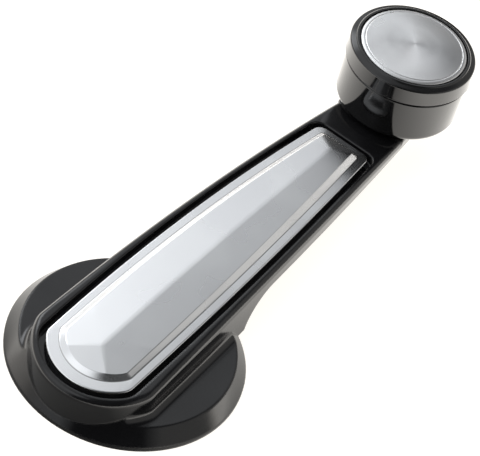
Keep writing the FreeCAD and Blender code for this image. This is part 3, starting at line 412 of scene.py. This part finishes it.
cuts = [(CENTRE, SIDEWAYS)]
cuts += [(x * ALONG, ALONG) for x in stations if HIP_NOSE < x < HIP_TIP]
cuts += [(HIP_NOSE * ALONG, ALONG + side * nose_run * SIDEWAYS) for side in (-1, 1)]
cuts += [(HIP_TIP * ALONG, ALONG + side * tip_run * SIDEWAYS) for side in (-1, 1)]
for point, normal in cuts:
    faces = [face for face in bm.faces if not any(vert in level for vert in face.verts)]
    parts = set(faces)
    for face in faces:
        parts.update(face.edges)
        parts.update(face.verts)
    bmesh.ops.bisect_plane(bm, geom=list(parts), dist=CUT_MERGE, plane_co=point,
                           plane_no=normal)
for vert in bm.verts:
    x, y, _ = vert.co
    rise, drop = level.get(vert, (1, 0))
    vert.co.z = crown(x) + rise * (panel(x, y) - crown(x)) - drop
bmesh.ops.recalc_face_normals(bm, faces=bm.faces[:])
if sum(face.normal.z * face.calc_area() for face in bm.faces) < 0:
    bmesh.ops.reverse_faces(bm, faces=bm.faces[:])
creases = [edge for edge in bm.edges if edge.calc_face_angle(0) > SHARP_TURN
           and not any(vert in level for face in edge.link_faces for vert in face.verts)]
bmesh.ops.bevel(bm, geom=creases, offset=RIDGE_ROUND, offset_type="OFFSET",
                segments=RIDGE_STEPS, profile=EVEN_PROFILE, affect="EDGES",
                clamp_overlap=False, material=-1)
bmesh.ops.solidify(bm, geom=bm.faces[:], thickness=PLATE_THICKNESS)
bmesh.ops.recalc_face_normals(bm, faces=bm.faces[:])


def piece_of(name, bm, material):
    """Turn a bmesh in millimetres into an object of the scene, smooth over its rounds."""
    bmesh.ops.scale(bm, vec=(MM, MM, MM), verts=bm.verts[:])
    mesh = bpy.data.meshes.new(name)
    bm.to_mesh(mesh)
    bm.free()
    mesh.shade_smooth()
    mesh.materials.append(material)
    piece = bpy.data.objects.new(name, mesh)
    scene.collection.objects.link(piece)
    evening = piece.modifiers.new("even_normals", "WEIGHTED_NORMAL")
    evening.weight = NORMAL_WEIGHT
    return piece


ALUMINIUM_COLOURS = ((0.9, 0.905, 0.915, 1), (0.83, 0.835, 0.85, 1))
ALUMINIUM_SPECK = (0.2, 0.19, 0.17, 1)
# Colour of the painted shade in the fold at the foot of the panel's step.
FOLD_PAINTED_SHADE = (0.33, 0.325, 0.32, 1)
ALUMINIUM_ROUGHNESS = (0.22, 0.3)
ROLLING_STRETCH = (0.04, 1, 1)
ROLLING_LINES = {"Scale": 2400, "Detail": 3}
ROLLING_BUMP = (0.03, 0.00002)
TRIM_SMEAR = {"Scale": 50, "Detail": 3}
TRIM_SPECKS = {"Spacing": 420, "Size": 0.03, "Share": 0.97}

aluminium, tree, shader, place = finish("bright_aluminium", Metallic=1)
stretch = add(tree, "ShaderNodeMapping", Scale=ROLLING_STRETCH)
tree.links.new(place, stretch.inputs["Vector"])
smear = use(tree, MOTTLE, place, **TRIM_SMEAR)
dust = use(tree, SPECKS, place, **TRIM_SPECKS)
# Painted shade: the plate's colour is darker along the fold at the foot of the panel's step.
fold_shade = add(tree, "ShaderNodeAttribute", {"attribute_name": "fold_shade_mask"})
sheen = blend_colours(tree, smear.outputs["Patches"], *ALUMINIUM_COLOURS)
sheen = blend_colours(tree, dust.outputs["Specks"], sheen, ALUMINIUM_SPECK)
tree.links.new(blend_colours(tree, fold_shade.outputs["Fac"], sheen, FOLD_PAINTED_SHADE),
               shader.inputs["Base Color"])
tree.links.new(between(tree, smear.outputs["Patches"], *ALUMINIUM_ROUGHNESS),
               shader.inputs["Roughness"])
roughen(tree, shader, stretch.outputs["Vector"], ROLLING_LINES, *ROLLING_BUMP)

trim = piece_of("trim_face", bm, aluminium)
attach(trim, "handle")
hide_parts("trim_plate")


# Knob spindle and its washers
# A shouldered rivet of zinc plated steel, set through the pad and headed over a washer
# underneath. A thrust washer and a dished spring take the knob's load on its collar.

for node in ("knob_spindle", "rivet_washer", "stop_washer"):
    dress(node, zinc)
for node in ("spring_dish", "push_nut"):
    dress(node, spring)


# Bush and thrust washer
# White nylon. The bush is pressed into the knob and turns on the spindle, and the thrust
# washer lies on the spindle's collar.

NYLON_COLOURS = ((0.82, 0.8, 0.74, 1), (0.74, 0.71, 0.63, 1))
NYLON_ROUGHNESS = (0.3, 0.45)

nylon = moulded("bush_plastic", NYLON_COLOURS, NYLON_ROUGHNESS)
dress("knob_bush", nylon)
dress("thrust_washer", nylon)


# Knob cup
# The lower shell of the knob, moulded in grey black plastic with a smooth, lightly
# polished skin and a rounded bottom edge. The bush sits in its middle.

KNOB_X = 100
CUP_BOTTOM = 12.6
CUP_FOOT_RADIUS = 14.65
CUP_FOOT_ROUND = 1.8
CUP_TOP_RADIUS = 14.84
SEAM_RADIUS = 14.55
SEAM_START = 24
SEAM_FULL = 24.4
CUP_TOP = 24.8
CUP_INSIDE_RADIUS = 13.2
CUP_FLOOR = 15
CUP_FLOOR_ROUND = 0.5
STEP_RADIUS = 8.5
STEP_TOP = 17
BOSS_RADIUS = 6.35
BOSS_TOP = 23.6
BOSS_BORE_RADIUS = 4.6
RECESS_RADIUS = 6.9
RECESS_TOP = 15.3
SOFT_ROUND = 0.3
SMALL_ROUND = 0.2
FINE_ROUND = 0.1
TURN_STEPS = 144
ROUND_STEPS = 5
FULL_TURN = math.radians(360)


def turned(corners):
    """Ring or disc turned about the knob's axis from corners (radius, height, round)."""
    bm = bmesh.new()
    points = [bm.verts.new((KNOB_X + radius, 0, height)) for radius, height, _ in corners]
    bm.faces.new(points)
    for point, (_, _, round_off) in zip(points, corners):
        if round_off:
            bmesh.ops.bevel(bm, geom=[point], offset=round_off, offset_type="OFFSET",
                            segments=ROUND_STEPS, profile=EVEN_PROFILE, affect="VERTICES",
                            material=-1)
    bmesh.ops.delete(bm, geom=bm.faces[:], context="FACES_ONLY")
    bmesh.ops.spin(bm, geom=bm.verts[:] + bm.edges[:], cent=(KNOB_X, 0, 0), axis=UP,
                   angle=FULL_TURN, steps=TURN_STEPS, use_merge=True)
    bmesh.ops.remove_doubles(bm, verts=bm.verts[:], dist=MERGE)
    bmesh.ops.recalc_face_normals(bm, faces=bm.faces[:])
    return bm


KNOB_COLOURS = ((0.006, 0.006, 0.0063, 1), (0.011, 0.011, 0.0115, 1))
KNOB_ROUGHNESS = (0.06, 0.12)
KNOB_IOR = 1.55
KNOB_CLOUD = {"Scale": 70, "Detail": 4}
KNOB_DUST = {"Spacing": 300, "Size": 0.03, "Share": 0.95}
KNOB_FLOW = {"Scale": 190, "Detail": 2}
KNOB_BUMP = (0.05, 0.00006)

knob_black, tree, shader, place = clouded("grey_black_plastic", KNOB_CLOUD, KNOB_COLOURS,
                                          KNOB_ROUGHNESS, KNOB_DUST, IOR=KNOB_IOR)
roughen(tree, shader, place, KNOB_FLOW, *KNOB_BUMP)

cup = piece_of("knob_shell_lower", turned([
    (RECESS_RADIUS, CUP_BOTTOM, SOFT_ROUND),
    (CUP_FOOT_RADIUS, CUP_BOTTOM, CUP_FOOT_ROUND),
    (CUP_TOP_RADIUS, SEAM_START, FINE_ROUND),
    (SEAM_RADIUS, SEAM_FULL, FINE_ROUND),
    (SEAM_RADIUS, CUP_TOP, 0),
    (CUP_INSIDE_RADIUS, CUP_TOP, SMALL_ROUND),
    (CUP_INSIDE_RADIUS, CUP_FLOOR, CUP_FLOOR_ROUND),
    (STEP_RADIUS, CUP_FLOOR, SOFT_ROUND),
    (STEP_RADIUS, STEP_TOP, SOFT_ROUND),
    (BOSS_RADIUS, STEP_TOP, 0),
    (BOSS_RADIUS, BOSS_TOP, SMALL_ROUND),
    (BOSS_BORE_RADIUS, BOSS_TOP, 0),
    (BOSS_BORE_RADIUS, RECESS_TOP, 0),
    (RECESS_RADIUS, RECESS_TOP, 0)]), knob_black)
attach(cup, "knob")
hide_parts("knob_cup")


# Knob cap
# The upper shell, pressed into the cup. Its broad bevel runs up to a thin lip round the
# seat of the disc.

SKIRT_INSIDE_RADIUS = 11.65
SKIRT_RADIUS = 13.15
SKIRT_BOTTOM = 21.97
CAP_BOTTOM = 25.05
CAP_CEILING = 26.6
CAP_FOOT_RADIUS = 15.3
CAP_BROW_RADIUS = 14.95
CAP_BROW = 28.75
CAP_BROW_ROUND = 0.35
LIP_FOOT_RADIUS = 13.65
LIP_FOOT = 29.1
LIP_FOOT_ROUND = 0.15
LIP_RADIUS = 13.5
LIP_INSIDE_RADIUS = 12.95
LIP_TOP = 29.35
LIP_ROUND = 0.12
SEAT_RADIUS = 12.85
SEAT = 28.6

cap = piece_of("knob_shell_upper", turned([
    (0, CAP_CEILING, 0),
    (SKIRT_INSIDE_RADIUS, CAP_CEILING, SOFT_ROUND),
    (SKIRT_INSIDE_RADIUS, SKIRT_BOTTOM, SMALL_ROUND),
    (SKIRT_RADIUS, SKIRT_BOTTOM, SOFT_ROUND),
    (SKIRT_RADIUS, CAP_BOTTOM, 0),
    (CAP_FOOT_RADIUS, CAP_BOTTOM, SMALL_ROUND),
    (CAP_BROW_RADIUS, CAP_BROW, CAP_BROW_ROUND),
    (LIP_FOOT_RADIUS, LIP_FOOT, LIP_FOOT_ROUND),
    (LIP_RADIUS, LIP_TOP, LIP_ROUND),
    (LIP_INSIDE_RADIUS, LIP_TOP, LIP_ROUND),
    (SEAT_RADIUS, SEAT, FINE_ROUND),
    (0, SEAT, 0)]), knob_black)
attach(cap, "knob")
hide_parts("knob_cap")


# Disc and its film
# A domed disc of spun aluminium with a fine groove inside its rim, whose sheen circles its
# middle. A film of adhesive holds it in the cap's seat.

DISC_COLOURS = ((0.86, 0.865, 0.87, 1), (0.8, 0.8, 0.81, 1))
DISC_ROUGHNESS = (0.26, 0.34)
DISC_SMEAR = {"Scale": 120, "Detail": 3}
SPINNING_SHARE = 0.75
DISC_BOTTOM = 28.8
DISC_RADIUS = 12.6
DISC_RIM = 29.3
DISC_RIM_ROUND = 0.25
GROOVE_OUTSIDE = (11.75, 29.5)
GROOVE_BOTTOM = (11.6, 29.42)
GROOVE_INSIDE = (11.45, 29.52)
GROOVE_ROUND = 0.05
DOME = ((8, 29.95, 1.5), (5, 30.13, 1.5), (2.5, 30.22, 1))
DOME_TOP = 30.25

disc_metal, tree, shader, place = clouded("spun_aluminium", DISC_SMEAR, DISC_COLOURS,
                                          DISC_ROUGHNESS, Metallic=1,
                                          Anisotropic=SPINNING_SHARE)
radial = add(tree, "ShaderNodeTangent", {"direction_type": "RADIAL", "axis": "Z"})
tree.links.new(radial.outputs["Tangent"], shader.inputs["Tangent"])

disc = piece_of("knob_face", turned([
    (0, DISC_BOTTOM, 0),
    (DISC_RADIUS, DISC_BOTTOM, 0),
    (DISC_RADIUS, DISC_RIM, DISC_RIM_ROUND),
    (*GROOVE_OUTSIDE, FINE_ROUND),
    (*GROOVE_BOTTOM, GROOVE_ROUND),
    (*GROOVE_INSIDE, FINE_ROUND),
    *DOME,
    (0, DOME_TOP, 0)]), disc_metal)
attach(disc, "knob")
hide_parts("knob_disc")
dress("disc_film", film)


# Floor
# A sheet of warm white paper. The camera sees it white, with the handle's faint shadow.
# Glossy surfaces see a painted shadow on it close to the handle and painted light, brighter
# than white, further out.

FLOOR_REACH = 3
FLOOR_COLOUR = (0.3, 0.295, 0.285, 1)
FLOOR_ROUGHNESS = 0.9
GLOW_COLOUR = (1, 0.965, 0.91, 1)
# Glow that glossy rays see: a painted shadow near the handle, painted light far from it.
GLOW_SEEN = 0.96
PAINTED_SHADOW_GLOW = 0.05
PAINTED_FAR_GLOW = 2.8
GLOW_SHIFT = (0.027, 0, 0)
GLOW_SCALE = (0.45, 1.6, 1)
GLOW_START = 0.03
GLOW_END = 0.105


def arithmetic(tree, operation, first, second):
    """Result of a sum or comparison of two outputs, or of an output and a number."""
    node = add(tree, "ShaderNodeMath", {"operation": operation})
    tree.links.new(first, node.inputs[0])
    if isinstance(second, (int, float)):
        node.inputs[1].default_value = second
    else:
        tree.links.new(second, node.inputs[1])
    return node.outputs["Value"]


floor_mesh = bpy.data.meshes.new("floor")
bm = bmesh.new()
bmesh.ops.create_grid(bm, x_segments=1, y_segments=1, size=FLOOR_REACH)
bm.to_mesh(floor_mesh)
bm.free()
floor = bpy.data.objects.new("floor", floor_mesh)
scene.collection.objects.link(floor)
paper, tree, shader, place = finish(
    "floor_paper", Base_Color=FLOOR_COLOUR, Roughness=FLOOR_ROUGHNESS,
    Emission_Color=GLOW_COLOUR)
rays = add(tree, "ShaderNodeLightPath")
# Painted shadow and light: the glow that glossy rays see grows with distance from the handle.
spread = add(tree, "ShaderNodeMapping", Location=GLOW_SHIFT, Scale=GLOW_SCALE)
away = add(tree, "ShaderNodeVectorMath", {"operation": "LENGTH"})
painted_shadow_and_glow = add(tree, "ShaderNodeMapRange", From_Min=GLOW_START, From_Max=GLOW_END,
               To_Min=PAINTED_SHADOW_GLOW, To_Max=PAINTED_FAR_GLOW)
tree.links.new(place, spread.inputs["Vector"])
tree.links.new(spread.outputs["Vector"], away.inputs[0])
tree.links.new(away.outputs["Value"], painted_shadow_and_glow.inputs["Value"])
mirrored = arithmetic(tree, "ADD", rays.outputs["Is Glossy Ray"],
                      rays.outputs["Is Transmission Ray"])
mirrored = arithmetic(tree, "MULTIPLY", mirrored, painted_shadow_and_glow.outputs["Result"])
seen = arithmetic(tree, "MULTIPLY", rays.outputs["Is Camera Ray"], GLOW_SEEN)
tree.links.new(arithmetic(tree, "ADD", seen, mirrored), shader.inputs["Emission Strength"])
floor_mesh.materials.append(paper)


# Sky
# A soft studio sky, bright behind and to the left of the handle, dim over its front, and
# warm and bright near the horizon. A zone has a strength, and one or more axes, with the
# reaches along each at which it starts and is full.

SKY_BASE = 0.05
SKY_COLOUR = (0.95, 0.975, 1, 1)
HORIZON_COLOUR = (1, 0.96, 0.9, 1)
SKY_ZONES = (
    (0.84, (((0.15, 1, 0), 0.02, 0.37), ((-1, 0, 0), -0.95, -0.70))),
    (0.80, (((-0.35, 1, 0), 0.27, 0.50),)),
    (0.90, (((0.3, 0.65, 0.7), 0.82, 0.94),)),
    (1.10, (((-0.5, 0.35, 0.8), 0.88, 0.96),)),
    (4.00, (((0.37, 0.70, 0.61), 0.965, 0.99),)))
HORIZON_ZONES = (
    (0.62, (((0, 0, -1), -0.88, -0.70), ((0.6, -0.8, 0), 0.35, 0.60))),
    (6.0, (((0, 0, -1), -0.08, 0.04), ((0.6, -0.8, 0), 0.4, 0.9))),
    (2.0, (((0, 0, -1), -0.35, -0.05), ((0, 1, 0), 0.3, 0.8))))

sky = bpy.data.worlds.new("sky")
scene.world = sky
sky.use_nodes = True
tree = sky.node_tree
direction = add(tree, "ShaderNodeTexCoord").outputs["Generated"]


def towards(tree, axis, start, full):
    """Share of a zone that a direction has, from its reach along one axis."""
    along = add(tree, "ShaderNodeVectorMath", {"operation": "DOT_PRODUCT"})
    along.inputs[1].default_value = axis
    tree.links.new(direction, along.inputs[0])
    share = add(tree, "ShaderNodeMapRange", From_Min=start, From_Max=full)
    tree.links.new(along.outputs["Value"], share.inputs["Value"])
    return share.outputs["Result"]


def brightest(tree, zones):
    """Strength of the brightest of some zones in each direction."""
    most = None
    for strength, reaches in zones:
        level = towards(tree, *reaches[0])
        for reach in reaches[1:]:
            level = arithmetic(tree, "MULTIPLY", level, towards(tree, *reach))
        level = arithmetic(tree, "MULTIPLY", level, strength)
        most = arithmetic(tree, "MAXIMUM", most, level) if most else level
    return most


background = tree.nodes["Background"]
overhead = brightest(tree, SKY_ZONES)
horizon = brightest(tree, HORIZON_ZONES)
warmth = arithmetic(tree, "MINIMUM", horizon, 1)
tree.links.new(blend_colours(tree, warmth, SKY_COLOUR, HORIZON_COLOUR),
               background.inputs["Color"])
lit = arithmetic(tree, "MAXIMUM", overhead, horizon)
tree.links.new(arithmetic(tree, "MAXIMUM", lit, SKY_BASE), background.inputs["Strength"])


# Lamps
# Two broad square lamps over the handle and at its left fill in the shadows. Glossy surfaces
# don't show them, so the sky and the floor make the highlights.

LAMP_AIM = Vector((0.045, 0, 0))
LAMPS = (
    ("overhead_lamp", Vector((0.05, 0.1, 0.9)), 1.2, 5),
    ("side_lamp", Vector((-0.3, 0.7, 0.5)), 0.8, 2.5),
)
for name, spot, size, power in LAMPS:
    light = bpy.data.lights.new(name, "AREA")
    light.shape = "SQUARE"
    light.size = size
    light.energy = power
    lamp = bpy.data.objects.new(name, light)
    lamp.location = spot
    lamp.rotation_euler = (LAMP_AIM - spot).to_track_quat("-Z", "Y").to_euler()
    lamp.visible_glossy = False
    scene.collection.objects.link(lamp)


# Camera
# A pinhole camera, fitted to the photograph from the round cover, the round knob and the
# outline of the trim plate.

CAMERA_PLACE = Vector((-0.3143, -0.1562, 0.3899))
CAMERA_AHEAD = Vector((0.6525, 0.29, -0.7001))
CAMERA_RIGHT = Vector((0.5811, -0.7844, 0.2166))
CAMERA_LENS = 185.03
SENSOR_WIDTH = 36

camera_data = bpy.data.cameras.new("camera")
camera_data.lens = CAMERA_LENS
camera_data.sensor_width = SENSOR_WIDTH
camera = bpy.data.objects.new("camera", camera_data)
ahead = CAMERA_AHEAD.normalized()
across = (CAMERA_RIGHT - CAMERA_RIGHT.dot(ahead) * ahead).normalized()
turn = Matrix((across, across.cross(ahead), -ahead)).transposed()
camera.matrix_world = Matrix.Translation(CAMERA_PLACE) @ turn.to_4x4()
scene.collection.objects.link(camera)
scene.camera = camera
